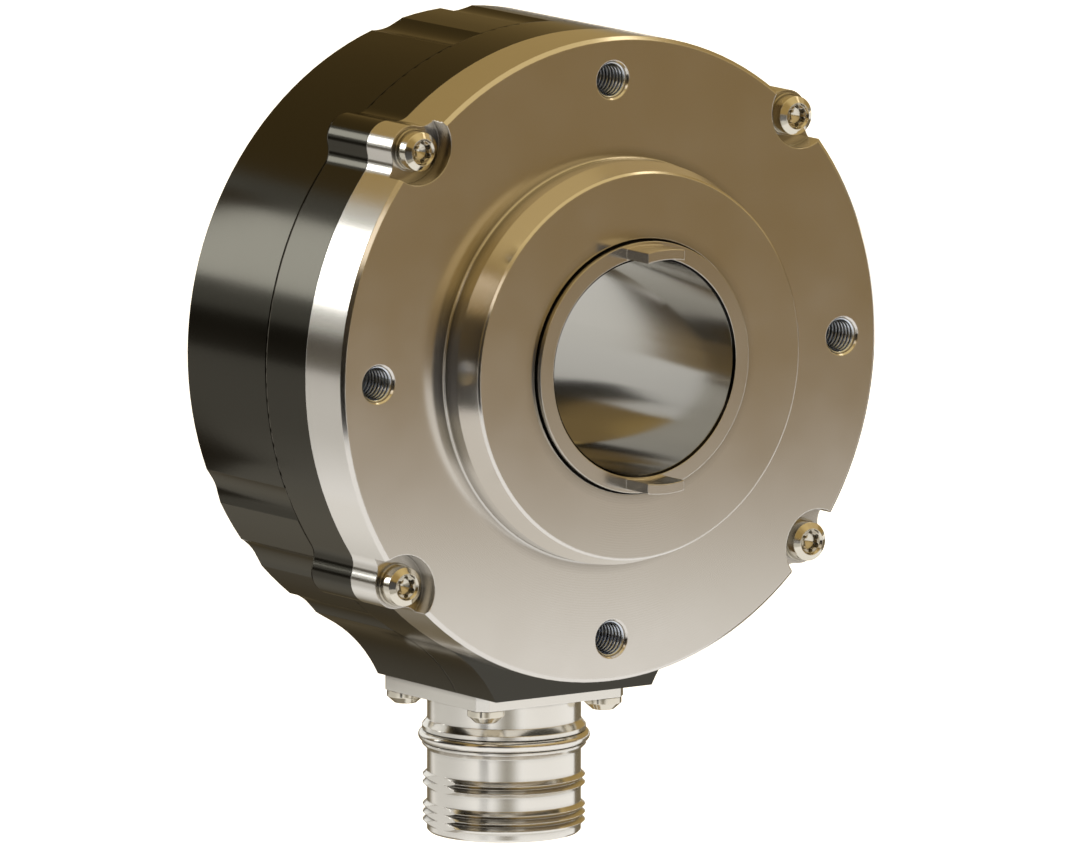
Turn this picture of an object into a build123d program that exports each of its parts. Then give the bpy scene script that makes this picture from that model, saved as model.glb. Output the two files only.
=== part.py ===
from build123d import *
from math import acos, atan2, cos, degrees, hypot, radians, sin
import os

os.makedirs("parts", exist_ok=True)

# Hollow shaft incremental rotary encoder.
# The shaft axis is Y and passes through the origin, +Z is up, and the flange's front face is
# the plane y = 0. The boss stands towards -Y, the housing lies towards +Y, and the connector
# points down. All sizes are in millimetres. Angles are counted from the top, clockwise from the front.

# Flange and boss
flange_radius = 45.0
flange_thickness = 9.0
flange_edge = 0.5
boss_radius = 28.1
boss_lead_radius = 27.05
boss_height = 6.8
boss_straight = 3.0
boss_edge = 0.3
boss_corner_radius = 0.3
tapped_inset = 6.0
tapped_radius = 2.5
tapped_depth = 7.5
tapped_chamfer = 0.25
tapped_count = 4
oring_section = 0.5
oring_lead = 0.8
oring_groove_width = 1.2
oring_groove_depth = 1.0
spigot_length = 3.0
spigot_wall = 1.9
overshoot = 1.0

# Screw lobes and their open pockets
lobe_angles = (45, -45, 130, -130)
lobe_radius = 3.4
lobe_inset = 0.5
lobe_blend = 3.0
pocket_radius = 5.2
pocket_shift = 0.95
pocket_depth = 3.0

# Housing
front_ring_length = 9.7
rear_length = 19.9
wall = 3.6
back_wall = 2.6
back_edge = 0.5
flute_angles = (0, 15, -15, 115, -115, 130, -130, 145, -145)
flute_radius = 6.0
flute_depth = 0.7
pad_margin = 0.65
pad_foot = 3.0
pad_sweep = 20.0
tongue_length = 2.2
tongue_thickness = 1.6
joint_clearance = 0.05

# Fasteners
thread_radius = 1.5
clearance_hole = 1.6
flange_head_radius = 2.72
flange_head_height = 2.4
flange_flat_radius = 1.85
flange_head_bevel = 0.6
flange_thread_length = 14.0
washer_radius = 3.0
washer_thickness = 0.5
recess_radius = 1.6
recess_core_radius = 1.15
recess_lobe_radius = 0.35
recess_lobe_circle = 1.2
recess_depth = 1.2
recess_point = 0.6
recess_sink = 0.35
inner_head_radius = 2.7
inner_head_height = 2.9
inner_thread_length = 12.0
ear_radius = 3.0
ear_root = 0.5
ear_thickness = 3.5
ear_angles = (30, -30, 150, -150)
plate_head_radius = 2.6
plate_head_height = 1.85
plate_flat_radius = 1.56
plate_head_bevel = 0.92
plate_thread_length = 8.0
blind_allowance = 0.6

# Shaft and bearings
bore_radius = 15.0
bore_chamfer = 0.35
shaft_wall = 2.5
shaft_stand_out = 1.1
rear_stand_out = 0.8
running_gap = 0.3
tab_width = 6.1
tab_inner_step = 0.6
tab_thickness = 1.4
tab_length = 5.1
lip_thickness = 1.2
seal_height = 3.5
seal_width = 3.2
seal_skin = 0.9
seal_clearance = 0.05
first_bearing = 0.4
bearing_width = 7.0
ring_thickness = 1.9
land_spacing = 2.2
ball_radius = 2.0
ball_clearance = 0.03
ball_count = 18
cage_thickness = 1.2
cage_width = 5.0
pocket_clearance = 0.1
shield_thickness = 0.4
shield_step = 0.35
shield_gap = 0.25
bearing_spacing = 4.0
spacer_thickness = 1.5
hub_tube_wall = 1.55
hub_tube_lip = 1.2
housing_circlip_thickness = 1.6
housing_groove_depth = 1.25
housing_circlip_reach = 1.6
shaft_circlip_thickness = 1.5
shaft_circlip_reach = 1.5
shaft_groove_depth = 1.0
circlip_opening = 5.0
shoulder_height = 1.7
shoulder_length = 3.8

# Code disc and optics
disc_hub_width = 4.0
disc_hub_thickness = 2.6
disc_tube_wall = 2.5
disc_edge = 1.8
disc_thickness = 1.0
disc_bore_clearance = 0.05
clamp_ring_thickness = 1.4
disc_screw_inset = 2.0
disc_screw_radius = 0.8
disc_screw_clearance = 0.9
disc_screw_head_radius = 1.3
disc_screw_flat_radius = 1.04
disc_screw_head_height = 0.8
disc_screw_bevel = 0.2
disc_screw_length = 4.4
disc_screw_count = 3
track_clearance = 0.2
optic_radius = 1.9
light_stand_out = 0.6
light_length = 2.4
lens_length = 1.1
lens_edge = 0.6
head_width = 12.0
head_arm_front = 20.8
head_arm_thickness = 2.8
head_arm_clearance = 0.5
head_disc_clearance = 1.2
head_spine_thickness = 3.3
head_screw_spacing = 6.0
head_screw_length = 4.0
head_hole_depth = 3.0
ledge_front = 27.4
ledge_thickness = 1.2
reticle_thickness = 0.6
reticle_width = 7.0
reticle_height = 4.6
window_radius = 2.0
sensor_width = 6.0
sensor_height = 5.0
sensor_thickness = 1.2

# Sensor board
board_front = 30.4
board_thickness = 1.6
board_margin = 0.3
board_bore_clearance = 0.5
standoff_angles = (60, -60, 120, -120)
standoff_inset = 2.0
standoff_radius = 1.9
standoff_stud = 4.0
board_screw_radius = 1.25
board_screw_clearance = 1.4
board_screw_length = 6.0
board_head_radius = 2.1
board_flat_radius = 1.58
board_head_height = 1.5
board_head_bevel = 0.4
header_width = 11.0
header_height = 3.2
header_depth = 2.8
chip_height = 1.2
main_chip_size = 7.0
driver_chip_length = 6.0
driver_chip_width = 4.0
main_chip_angle = 90
driver_chip_angles = (-80, -100, 180)

# Connector
connector_axis = 26.1
plate_margin = 1.75
plate_thickness = 2.2
plate_bevel = 1.4
shell_radius = 10.75
collar_radius = 11.45
collar_start = 3.5
collar_widest = 4.4
groove_start = 5.0
groove_width = 1.75
groove_radius = 10.3
bead_radius = 12.0
bead_section = 0.83
lower_collar_lip = 0.35
lower_collar_taper = 0.7
lower_collar_radius = 11.1
lower_collar_end = 1.05
crest_radius = 11.35
crest_width = 1.1
first_crests = (11.5, 12.65)
second_crests = (15.7, 16.8, 17.9)
shell_length = 19.5
shell_end_edge = 0.3
key_flat = 10.73
key_width = 9.0
key_depth = 2.0
key_start = 9.0
socket_radius = 9.4
socket_floor = 3.8
shell_tube_radius = 6.8
shell_tube_length = 5.5
shell_tube_bore = 5.3
tube_ring_section = 0.5
tube_ring_depth = 0.95
tube_ring_place = 1.6
insert_face = 6.8
insert_clearance = 0.05
insert_plug_length = 3.2
pin_radius = 0.5
pin_reach = 8.0
pin_tail = 1.6
outer_pin_circle = 8.6
inner_pin_circle = 3.8
outer_pin_count = 9
inner_pin_count = 3
wire_radius = 0.4
wire_pitch = 1.6
wire_bend = 1.2
wire_straight = 2.0

# Places along the shaft that follow from the sizes above
seam = flange_thickness + front_ring_length
rear_face = seam + rear_length
back_wall_front = rear_face - back_wall
shaft_front = -boss_height - shaft_stand_out
shaft_rear = rear_face + rear_stand_out
front_seal_start = -boss_height + lip_thickness
second_bearing = first_bearing + bearing_width + bearing_spacing
bearings_end = second_bearing + bearing_width
hub_tube_end = bearings_end + housing_circlip_thickness + hub_tube_lip
shoulder_end = bearings_end + shoulder_length
disc_front = shoulder_end + disc_hub_thickness
disc_rear = disc_front + disc_thickness
clamp_rear = disc_rear + clamp_ring_thickness
board_rear = board_front + board_thickness
rear_seal_end = rear_face - lip_thickness / 2
rear_seal_start = rear_seal_end - seal_width
ear_front = seam - ear_thickness

# Radii and circles that follow from the sizes above
tapped_circle = 2 * (flange_radius - tapped_inset)
pad_drop = flange_radius + pad_foot
plate_size = 2 * (shell_radius + plate_margin)
plate_screw_spacing = plate_size - 2 * plate_head_radius
pad_width = plate_size + 2 * pad_margin
shaft_radius = bore_radius + shaft_wall
tab_inner_radius = bore_radius + tab_inner_step
tab_outer_radius = tab_inner_radius + tab_thickness
shoulder_radius = shaft_radius + shoulder_height
shaft_groove_radius = shaft_radius - shaft_groove_depth
shaft_circlip_radius = shaft_radius + shaft_circlip_reach
inner_land_radius = shaft_radius + ring_thickness
outer_land_radius = inner_land_radius + land_spacing
bearing_outer_radius = outer_land_radius + ring_thickness
inner_spacer_outer_radius = shaft_radius + spacer_thickness
outer_spacer_inner_radius = bearing_outer_radius - spacer_thickness
housing_circlip_inner_radius = bearing_outer_radius - housing_circlip_reach
housing_circlip_radius = bearing_outer_radius + housing_groove_depth
hub_tube_radius = housing_circlip_radius + hub_tube_wall
seal_radius = shaft_radius + seal_height
disc_tube_radius = shaft_radius + disc_tube_wall
disc_hub_radius = disc_tube_radius + disc_hub_width
disc_screw_circle = disc_tube_radius + disc_screw_inset
track_radius = hub_tube_radius + track_clearance + optic_radius
disc_radius = track_radius + disc_edge
head_arm_reach = hub_tube_radius + head_arm_clearance
head_spine_inner = disc_radius + head_disc_clearance
head_spine_outer = head_spine_inner + head_spine_thickness
board_radius = head_spine_outer + board_margin
board_bore = disc_tube_radius + board_bore_clearance
standoff_circle = board_radius - standoff_inset
cavity_radius = flange_radius - wall
screw_circle = flange_radius - lobe_inset
pocket_circle = screw_circle + pocket_shift
ear_circle = cavity_radius - ear_radius
spigot_radius = cavity_radius - joint_clearance
ball_circle = (inner_land_radius + outer_land_radius) / 2
race_radius = ball_radius + ball_clearance
lip_radius = shaft_radius + running_gap
seal_hub_radius = seal_radius + wall
plate_top = -pad_drop
plate_bottom = plate_top - plate_thickness
shell_end = plate_bottom - shell_length
insert_bottom = plate_bottom - insert_face
socket_top = plate_bottom - socket_floor
shell_tube_top = plate_top + shell_tube_length
connector_hole = shell_tube_radius + 2 * joint_clearance


def at_depth(y):
    """The plane across the shaft at this y, seen from the front: x to the right, z up."""
    return Plane.XZ.offset(-y)


def polar(radius, angle):
    """A point in that plane, by its angle from the top."""
    return (radius * sin(radians(angle)), radius * cos(radians(angle)))


def band(inner, outer, start, end, mode=Mode.ADD):
    """A rectangle of a turned profile: radius from inner to outer, length from start to end."""
    with Locations(((inner + outer) / 2, (start + end) / 2)):
        Rectangle(outer - inner, end - start, mode=mode)


def outward(x, y, z, direction):
    """The place of a screw whose head faces this direction."""
    return Plane(origin=(x, y, z), z_dir=direction).location


def lobe_outline():
    """One screw lobe at the top of the rim, with a round blend into the rim on both sides."""
    rim = flange_radius + lobe_blend
    arm = lobe_radius + lobe_blend
    turn = degrees(acos((rim**2 + screw_circle**2 - arm**2) / (2 * rim * screw_circle)))
    with BuildSketch() as lobe:
        with Locations((0, screw_circle)):
            Circle(lobe_radius)
        for side in (1, -1):
            centre = polar(rim, side * turn)
            foot = polar(flange_radius, side * turn)
            with BuildLine():
                Polyline((0, screw_circle), centre, foot, close=True)
            make_face()
            with Locations(centre):
                Circle(lobe_blend, mode=Mode.SUBTRACT)
    return lobe.sketch


def pad_outline():
    """The connector pad: a flat foot joined to the round housing by two concave sweeps."""
    corner = (pad_width / 2, -pad_drop)
    reach = hypot(*corner)
    rim = flange_radius + pad_sweep
    turn = acos((rim**2 + reach**2 - pad_sweep**2) / (2 * rim * reach))
    angle = 180 - degrees(atan2(corner[0], pad_drop) + turn)
    centre = polar(rim, angle)
    tangent = polar(flange_radius, angle)
    middle = Vector(*corner) + Vector(*tangent) - 2 * Vector(*centre)
    on_arc = Vector(*centre) + middle.normalized() * pad_sweep
    with BuildSketch() as pad:
        with BuildLine():
            Line((-corner[0], corner[1]), corner)
            ThreePointArc(corner, on_arc, tangent)
            Line(tangent, (-tangent[0], tangent[1]))
            ThreePointArc((-tangent[0], tangent[1]), (-on_arc.X, on_arc.Y), (-corner[0], corner[1]))
        make_face()
    return pad.sketch


def ear_outline():
    """The four inner screw ears: a round end on each, and a square root into the wall."""
    with BuildSketch() as ears:
        with Locations([polar(ear_circle, a) for a in ear_angles]):
            Circle(ear_radius)
        with Locations([Location((*polar(cavity_radius, a), 0), (0, 0, -a)) for a in ear_angles]):
            Rectangle(2 * ear_radius, 2 * ear_radius)
        Circle(cavity_radius + ear_root, mode=Mode.INTERSECT)
    return ears.sketch


def rounded_screw(head_radius, flat_radius, bevel, head_height, shank_radius, shank_length):
    """A screw along Z: the head's rim at z = 0, and a sunk six-lobed recess with a drill point."""
    size = flat_radius / flange_flat_radius
    depth = min(recess_depth, head_height / 2)
    sink = size * recess_sink
    core = size * recess_core_radius
    with BuildPart() as screw:
        with BuildSketch(Plane.XZ):
            with BuildLine():
                Polyline(
                    (0, -depth - size * recess_point),
                    (core, -depth),
                    (core, -sink),
                    (size * recess_radius, -sink),
                    (flat_radius, 0),
                    (head_radius, -bevel),
                    (head_radius, -head_height),
                    (shank_radius, -head_height),
                    (shank_radius, -head_height - shank_length),
                    (0, -head_height - shank_length),
                    close=True,
                )
            make_face()
        revolve(axis=Axis.Z)
        with BuildSketch():
            with PolarLocations(size * recess_lobe_circle, 6):
                Circle(size * recess_lobe_radius)
        extrude(amount=-depth, mode=Mode.SUBTRACT)
    return screw.part


def bearing_ring(start, inner, outer, groove_side):
    """An inner or outer bearing ring, its ball groove cut into the side that faces the balls."""
    middle = start + bearing_width / 2
    with BuildPart() as ring:
        with BuildSketch():
            band(inner, outer, start, start + bearing_width)
            if groove_side == "inside":
                step = outer_land_radius + shield_step
                end = start + bearing_width
                band(inner, step, start, start + shield_thickness, Mode.SUBTRACT)
                band(inner, step, end - shield_thickness, end, Mode.SUBTRACT)
            with Locations((ball_circle, middle)):
                Circle(race_radius, mode=Mode.SUBTRACT)
        revolve(axis=Axis.Y)
    return ring.part


def ball_ring(start):
    """The balls of one bearing, as separate spheres."""
    middle = start + bearing_width / 2
    places = [polar(ball_circle, 360 / ball_count * i) for i in range(ball_count)]
    with BuildPart() as balls:
        with Locations([(x, middle, z) for x, z in places]):
            Sphere(ball_radius)
    return balls.part


def ball_cage(start):
    """The cage that keeps the balls apart: a thin ring with one round pocket for each ball."""
    middle = start + bearing_width / 2
    inner = ball_circle - cage_thickness / 2
    places = [polar(ball_circle, 360 / ball_count * i) for i in range(ball_count)]
    with BuildPart() as cage:
        with BuildSketch():
            band(inner, inner + cage_thickness, middle - cage_width / 2, middle + cage_width / 2)
        revolve(axis=Axis.Y)
        with Locations([Plane(origin=(x, middle, z), z_dir=(x, 0, z)).location for x, z in places]):
            Cylinder(ball_radius + pocket_clearance, 3 * cage_thickness, mode=Mode.SUBTRACT)
    return cage.part


def open_ring(start, thickness, inner, outer, opening):
    """A circlip: a flat ring with an opening at the top."""
    with BuildPart() as clip:
        with BuildSketch(at_depth(start)):
            Circle(outer)
            Circle(inner, mode=Mode.SUBTRACT)
            with Locations((0, (inner + outer) / 2)):
                Rectangle(opening, 2 * (outer - inner), mode=Mode.SUBTRACT)
        extrude(amount=-thickness)
    return clip.part


def shaft_seal(start):
    """A lip seal: a rubber ring that bears on the shaft, with an open back like the real section."""
    end = start + seal_width
    inner = shaft_radius + seal_clearance
    with BuildPart() as seal:
        with BuildSketch():
            band(inner, seal_radius, start, end)
            band(inner + seal_skin, seal_radius - seal_skin, start + seal_skin, end, Mode.SUBTRACT)
        revolve(axis=Axis.Y)
    return seal.part


# Front flange: plate, boss, tapped holes, screw pockets, bearing tube and rear spigot
lobe = lobe_outline()
pad = pad_outline()
ears = ear_outline()
oring_front = flange_thickness + oring_lead
oring_groove_radius = spigot_radius - oring_groove_depth
spigot_inner_radius = spigot_radius - spigot_wall

with BuildPart() as front_flange:
    with BuildSketch(at_depth(0)):
        Circle(flange_radius)
        with Locations([Location((0, 0, 0), (0, 0, -a)) for a in lobe_angles]):
            add(lobe)
    extrude(amount=-flange_thickness)
    chamfer(front_flange.faces().sort_by(Axis.Y)[0].outer_wire().edges(), flange_edge)
    with BuildSketch(at_depth(0)):
        with Locations([polar(pocket_circle, a) for a in lobe_angles]):
            Circle(pocket_radius)
    extrude(amount=-pocket_depth, mode=Mode.SUBTRACT)
    with BuildSketch():
        with BuildLine():
            Polyline(
                (0, 0),
                (0, -boss_height),
                (boss_lead_radius - boss_edge, -boss_height),
                (boss_lead_radius, -boss_height + boss_edge),
                (boss_radius, -boss_straight),
                (boss_radius, -boss_corner_radius),
            )
            RadiusArc(
                (boss_radius, -boss_corner_radius),
                (boss_radius + boss_corner_radius, 0),
                boss_corner_radius,
            )
            Line((boss_radius + boss_corner_radius, 0), (0, 0))
        make_face()
    revolve(axis=Axis.Y)
    with BuildSketch():
        inside_plate = flange_thickness - overshoot
        band(0, hub_tube_radius, inside_plate, hub_tube_end)
        band(spigot_inner_radius, spigot_radius, inside_plate, flange_thickness + spigot_length)
    revolve(axis=Axis.Y)
    with BuildSketch():
        band(0, lip_radius, -boss_height - overshoot, front_seal_start + overshoot)
        band(0, seal_radius, front_seal_start, first_bearing + overshoot)
        band(0, bearing_outer_radius, first_bearing, hub_tube_end + overshoot)
        band(0, housing_circlip_radius, bearings_end, bearings_end + housing_circlip_thickness)
        band(oring_groove_radius, spigot_radius + overshoot, oring_front, oring_front + oring_groove_width)
    revolve(axis=Axis.Y, mode=Mode.SUBTRACT)
    with BuildSketch(at_depth(0)):
        with PolarLocations(tapped_circle / 2, tapped_count):
            Circle(tapped_radius)
    extrude(amount=-tapped_depth, mode=Mode.SUBTRACT)
    tapped_mouths = (
        front_flange.edges().filter_by(GeomType.CIRCLE)
        .filter_by(lambda e: abs(e.radius - tapped_radius) < 1e-3 and abs(e.arc_center.Y) < 1e-3)
    )
    chamfer(tapped_mouths, tapped_chamfer)
    with BuildSketch(at_depth(0)):
        with Locations([polar(screw_circle, a) for a in lobe_angles]):
            Circle(clearance_hole)
    extrude(amount=-flange_thickness, mode=Mode.SUBTRACT)
    with BuildSketch(at_depth(flange_thickness)):
        with Locations([polar(standoff_circle, a) for a in standoff_angles]):
            Circle(board_screw_radius)
    extrude(amount=standoff_stud, mode=Mode.SUBTRACT)
front_flange.part.label = "front_flange"
export_step(front_flange.part, "parts/front_flange.step")

# Front housing ring: lobed outline, half of the connector pad, a tongue at the seam, four inner ears
plate_screw_places = [
    (side * plate_screw_spacing / 2, connector_axis + end * plate_screw_spacing / 2)
    for side in (1, -1)
    for end in (1, -1)
]
flange_thread_end = pocket_depth - washer_thickness + flange_thread_length + blind_allowance
plate_thread_top = plate_bottom + plate_thread_length + blind_allowance

with BuildPart() as housing_front:
    with BuildSketch(at_depth(flange_thickness)):
        Circle(flange_radius)
        add(pad)
        with Locations([Location((0, 0, 0), (0, 0, -a)) for a in lobe_angles]):
            add(lobe)
        Circle(cavity_radius, mode=Mode.SUBTRACT)
    extrude(amount=-front_ring_length)
    with BuildSketch():
        band(cavity_radius, cavity_radius + tongue_thickness, seam - overshoot, seam + tongue_length)
    revolve(axis=Axis.Y)
    with BuildSketch(at_depth(ear_front)):
        add(ears)
    extrude(amount=-ear_thickness)
    with BuildSketch(at_depth(ear_front)):
        with Locations([polar(ear_circle, a) for a in ear_angles]):
            Circle(clearance_hole)
    extrude(amount=-ear_thickness, mode=Mode.SUBTRACT)
    with BuildSketch(at_depth(flange_thickness)):
        with Locations([polar(screw_circle, a) for a in lobe_angles]):
            Circle(thread_radius)
    extrude(amount=flange_thickness - flange_thread_end, mode=Mode.SUBTRACT)
    with BuildSketch(Plane.XY.offset(plate_top)):
        with Locations(plate_screw_places):
            Circle(thread_radius)
    extrude(amount=plate_thread_top - plate_top, mode=Mode.SUBTRACT)
    with BuildSketch(Plane.XY.offset(plate_top)):
        with Locations((0, connector_axis)):
            Circle(connector_hole)
    extrude(amount=pad_drop - cavity_radius + wall, mode=Mode.SUBTRACT)
housing_front.part.label = "housing_front"
export_step(housing_front.part, "parts/housing_front.step")

# Rear housing: round cup with flutes, the other half of the pad, screw bosses and the rear seal seat
boss_screw_end = seam + inner_thread_length - ear_thickness + blind_allowance

with BuildPart() as housing_rear:
    with BuildSketch(at_depth(seam)):
        Circle(flange_radius)
        add(pad)
    extrude(amount=-rear_length)
    chamfer(housing_rear.faces().sort_by(Axis.Y)[-1].outer_wire().edges(), back_edge)
    with BuildSketch(at_depth(seam)):
        with Locations([polar(flange_radius + flute_radius - flute_depth, a) for a in flute_angles]):
            Circle(flute_radius)
    extrude(amount=-rear_length, mode=Mode.SUBTRACT)
    with BuildSketch(at_depth(seam)):
        Circle(cavity_radius)
    extrude(amount=seam - back_wall_front, mode=Mode.SUBTRACT)
    with BuildSketch(at_depth(seam)):
        add(ears)
    extrude(amount=seam - boss_screw_end - overshoot)
    with BuildSketch(at_depth(seam)):
        with Locations([polar(ear_circle, a) for a in ear_angles]):
            Circle(thread_radius)
    extrude(amount=seam - boss_screw_end, mode=Mode.SUBTRACT)
    with BuildSketch(at_depth(rear_seal_start)):
        Circle(seal_hub_radius)
    extrude(amount=rear_seal_start - rear_face + back_wall / 2)
    with BuildSketch():
        tongue_outer = cavity_radius + tongue_thickness + joint_clearance
        tongue_end = seam + tongue_length + joint_clearance
        band(cavity_radius - joint_clearance, tongue_outer, seam - overshoot, tongue_end)
        band(0, seal_radius, rear_seal_start - overshoot, rear_seal_end)
        band(0, lip_radius, rear_seal_end - overshoot, rear_face + overshoot)
    revolve(axis=Axis.Y, mode=Mode.SUBTRACT)
    with BuildSketch(Plane.XY.offset(plate_top)):
        with Locations(plate_screw_places):
            Circle(thread_radius)
    extrude(amount=plate_thread_top - plate_top, mode=Mode.SUBTRACT)
    with BuildSketch(Plane.XY.offset(plate_top)):
        with Locations((0, connector_axis)):
            Circle(connector_hole)
    extrude(amount=pad_drop - cavity_radius + wall, mode=Mode.SUBTRACT)
housing_rear.part.label = "housing_rear"
export_step(housing_rear.part, "parts/housing_rear.step")

# Flange O-ring, in the groove of the rear spigot
with BuildPart() as flange_oring:
    with BuildSketch():
        with Locations((oring_groove_radius + oring_section, oring_front + oring_groove_width / 2)):
            Circle(oring_section)
    revolve(axis=Axis.Y)
flange_oring.part.label = "flange_oring"
export_step(flange_oring.part, "parts/flange_oring.step")

# Flange screws, one in each pocket, and the washers under their heads
head_top = pocket_depth - washer_thickness - flange_head_height
flange_screw = rounded_screw(
    flange_head_radius, flange_flat_radius, flange_head_bevel, flange_head_height,
    thread_radius, flange_thread_length,
)
with BuildPart() as flange_screws:
    for angle in lobe_angles:
        x, z = polar(screw_circle, angle)
        with Locations(outward(x, head_top, z, (0, -1, 0))):
            add(flange_screw)
flange_screws.part.label = "flange_screws"
export_step(flange_screws.part, "parts/flange_screws.step")

with BuildPart() as flange_screw_washers:
    with BuildSketch(at_depth(pocket_depth - washer_thickness)):
        with Locations([polar(screw_circle, a) for a in lobe_angles]):
            Circle(washer_radius)
            Circle(clearance_hole, mode=Mode.SUBTRACT)
    extrude(amount=-washer_thickness)
flange_screw_washers.part.label = "flange_screw_washers"
export_step(flange_screw_washers.part, "parts/flange_screw_washers.step")

# Screws that hold the rear housing, put in from the open front of the ring
inner_screw = rounded_screw(
    inner_head_radius, flange_flat_radius, flange_head_bevel, inner_head_height,
    thread_radius, inner_thread_length,
)
with BuildPart() as rear_housing_screws:
    for angle in ear_angles:
        x, z = polar(ear_circle, angle)
        with Locations(outward(x, ear_front - inner_head_height, z, (0, -1, 0))):
            add(inner_screw)
rear_housing_screws.part.label = "rear_housing_screws"
export_step(rear_housing_screws.part, "parts/rear_housing_screws.step")

# Shaft seals, behind the front lip and in front of the rear lip
front_seal = shaft_seal(front_seal_start)
front_seal.label = "front_shaft_seal"
export_step(front_seal, "parts/front_shaft_seal.step")
rear_seal = mirror(shaft_seal(-rear_seal_end), Plane.XZ)
rear_seal.label = "rear_shaft_seal"
export_step(rear_seal, "parts/rear_shaft_seal.step")

# Two thin-section ball bearings
for name, start in (("front", first_bearing), ("rear", second_bearing)):
    outer_ring = bearing_ring(start, outer_land_radius, bearing_outer_radius, "inside")
    inner_ring = bearing_ring(start, shaft_radius, inner_land_radius, "outside")
    balls = ball_ring(start)
    cage = ball_cage(start)
    outer_ring.label = f"{name}_bearing_outer_ring"
    inner_ring.label = f"{name}_bearing_inner_ring"
    balls.label = f"{name}_bearing_balls"
    cage.label = f"{name}_bearing_cage"
    for piece in (outer_ring, inner_ring, balls, cage):
        export_step(piece, f"parts/{piece.label}.step")

with BuildPart() as bearing_shields:
    with BuildSketch():
        for start in (first_bearing, second_bearing):
            for face in (start, start + bearing_width - shield_thickness):
                inner = inner_land_radius + shield_gap
                band(inner, outer_land_radius + shield_step, face, face + shield_thickness)
    revolve(axis=Axis.Y)
bearing_shields.part.label = "bearing_shields"
export_step(bearing_shields.part, "parts/bearing_shields.step")

# Spacers between the bearings, and the circlips that hold the stack
spacer_front = first_bearing + bearing_width
with BuildPart() as outer_bearing_spacer:
    with BuildSketch():
        band(outer_spacer_inner_radius, bearing_outer_radius, spacer_front, second_bearing)
    revolve(axis=Axis.Y)
outer_bearing_spacer.part.label = "outer_bearing_spacer"
export_step(outer_bearing_spacer.part, "parts/outer_bearing_spacer.step")

with BuildPart() as inner_bearing_spacer:
    with BuildSketch():
        band(shaft_radius, inner_spacer_outer_radius, spacer_front, second_bearing)
    revolve(axis=Axis.Y)
inner_bearing_spacer.part.label = "inner_bearing_spacer"
export_step(inner_bearing_spacer.part, "parts/inner_bearing_spacer.step")

housing_circlip = open_ring(
    bearings_end, housing_circlip_thickness, housing_circlip_inner_radius,
    housing_circlip_radius, 2 * circlip_opening,
)
housing_circlip.label = "housing_circlip"
export_step(housing_circlip, "parts/housing_circlip.step")

with BuildPart() as shaft_circlips:
    for start in (first_bearing - shaft_circlip_thickness, clamp_rear):
        clip = open_ring(
            start, shaft_circlip_thickness, shaft_groove_radius, shaft_circlip_radius, circlip_opening
        )
        add(clip)
shaft_circlips.part.label = "shaft_circlips"
export_step(shaft_circlips.part, "parts/shaft_circlips.step")

# Hollow shaft, with a shoulder behind the bearings and two drive tabs on its front end
with BuildPart() as hollow_shaft:
    with BuildSketch():
        band(bore_radius, shaft_radius, shaft_front, shaft_rear)
        band(bore_radius, shoulder_radius, bearings_end, shoulder_end)
        for start in (first_bearing - shaft_circlip_thickness, clamp_rear):
            band(shaft_groove_radius, shaft_radius, start, start + shaft_circlip_thickness, Mode.SUBTRACT)
    revolve(axis=Axis.Y)
    bore_mouths = (
        hollow_shaft.edges().filter_by(GeomType.CIRCLE)
        .filter_by(lambda e: abs(e.radius - bore_radius) < 1e-3)
    )
    chamfer(bore_mouths, bore_chamfer)
    with BuildSketch(at_depth(shaft_front)):
        Circle(tab_outer_radius)
        Circle(tab_inner_radius, mode=Mode.SUBTRACT)
        Rectangle(tab_width, 4 * shaft_radius, mode=Mode.INTERSECT)
    extrude(amount=tab_length)
hollow_shaft.part.label = "hollow_shaft"
export_step(hollow_shaft.part, "parts/hollow_shaft.step")

# Code disc between its hub and its clamp ring
disc_screw_places = [polar(disc_screw_circle, 360 / disc_screw_count * i) for i in range(disc_screw_count)]
with BuildPart() as disc_hub:
    with BuildSketch():
        band(shaft_radius, disc_hub_radius, shoulder_end, disc_front)
        band(shaft_radius, disc_tube_radius, shoulder_end, clamp_rear)
    revolve(axis=Axis.Y)
    with BuildSketch(at_depth(shoulder_end)):
        with Locations(disc_screw_places):
            Circle(disc_screw_radius)
    extrude(amount=-disc_hub_thickness, mode=Mode.SUBTRACT)
disc_hub.part.label = "disc_hub"
export_step(disc_hub.part, "parts/disc_hub.step")

with BuildPart() as code_disc:
    with BuildSketch(at_depth(disc_front)):
        Circle(disc_radius)
        Circle(disc_tube_radius + disc_bore_clearance, mode=Mode.SUBTRACT)
        with Locations(disc_screw_places):
            Circle(disc_screw_clearance, mode=Mode.SUBTRACT)
    extrude(amount=-disc_thickness)
code_disc.part.label = "code_disc"
export_step(code_disc.part, "parts/code_disc.step")

with BuildPart() as disc_clamp_ring:
    with BuildSketch(at_depth(disc_rear)):
        Circle(disc_hub_radius)
        Circle(disc_tube_radius + disc_bore_clearance, mode=Mode.SUBTRACT)
        with Locations(disc_screw_places):
            Circle(disc_screw_clearance, mode=Mode.SUBTRACT)
    extrude(amount=-clamp_ring_thickness)
disc_clamp_ring.part.label = "disc_clamp_ring"
export_step(disc_clamp_ring.part, "parts/disc_clamp_ring.step")

disc_screw = rounded_screw(
    disc_screw_head_radius, disc_screw_flat_radius, disc_screw_bevel, disc_screw_head_height,
    disc_screw_radius, disc_screw_length,
)
with BuildPart() as disc_screws:
    for x, z in disc_screw_places:
        with Locations(outward(x, clamp_rear + disc_screw_head_height, z, (0, 1, 0))):
            add(disc_screw)
disc_screws.part.label = "disc_screws"
export_step(disc_screws.part, "parts/disc_screws.step")

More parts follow.
